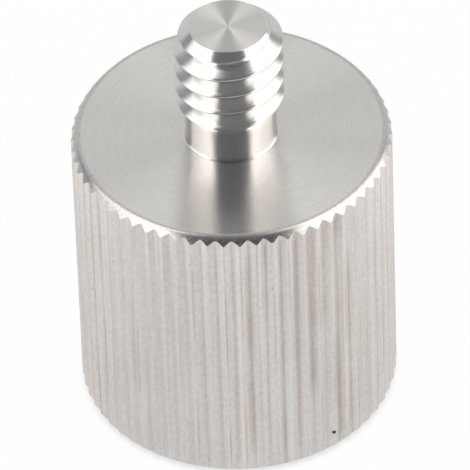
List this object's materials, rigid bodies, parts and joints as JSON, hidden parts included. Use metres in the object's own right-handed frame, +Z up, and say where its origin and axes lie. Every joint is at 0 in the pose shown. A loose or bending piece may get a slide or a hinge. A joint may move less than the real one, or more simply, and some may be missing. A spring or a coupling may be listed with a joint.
{
  "type": "tripod thread adapter",
  "caption": "Knurled steel cylinder with a short male thread on its top face and a blind threaded hole in its base, joining tripod threads of different sizes.",
  "frame": {"origin": "centre of the base face, on the axis", "axes": "+Z up the axis from the base to the male stud, -Y towards the side that the picture shows"},
  "size_m": [0.0184, 0.0184, 0.0267],
  "materials": {
    "steel": "bright turned stainless steel, satin knurl"
  },
  "bodies": {
    "root": {"adapter_body": "steel"}
  },
  "joints": []
}
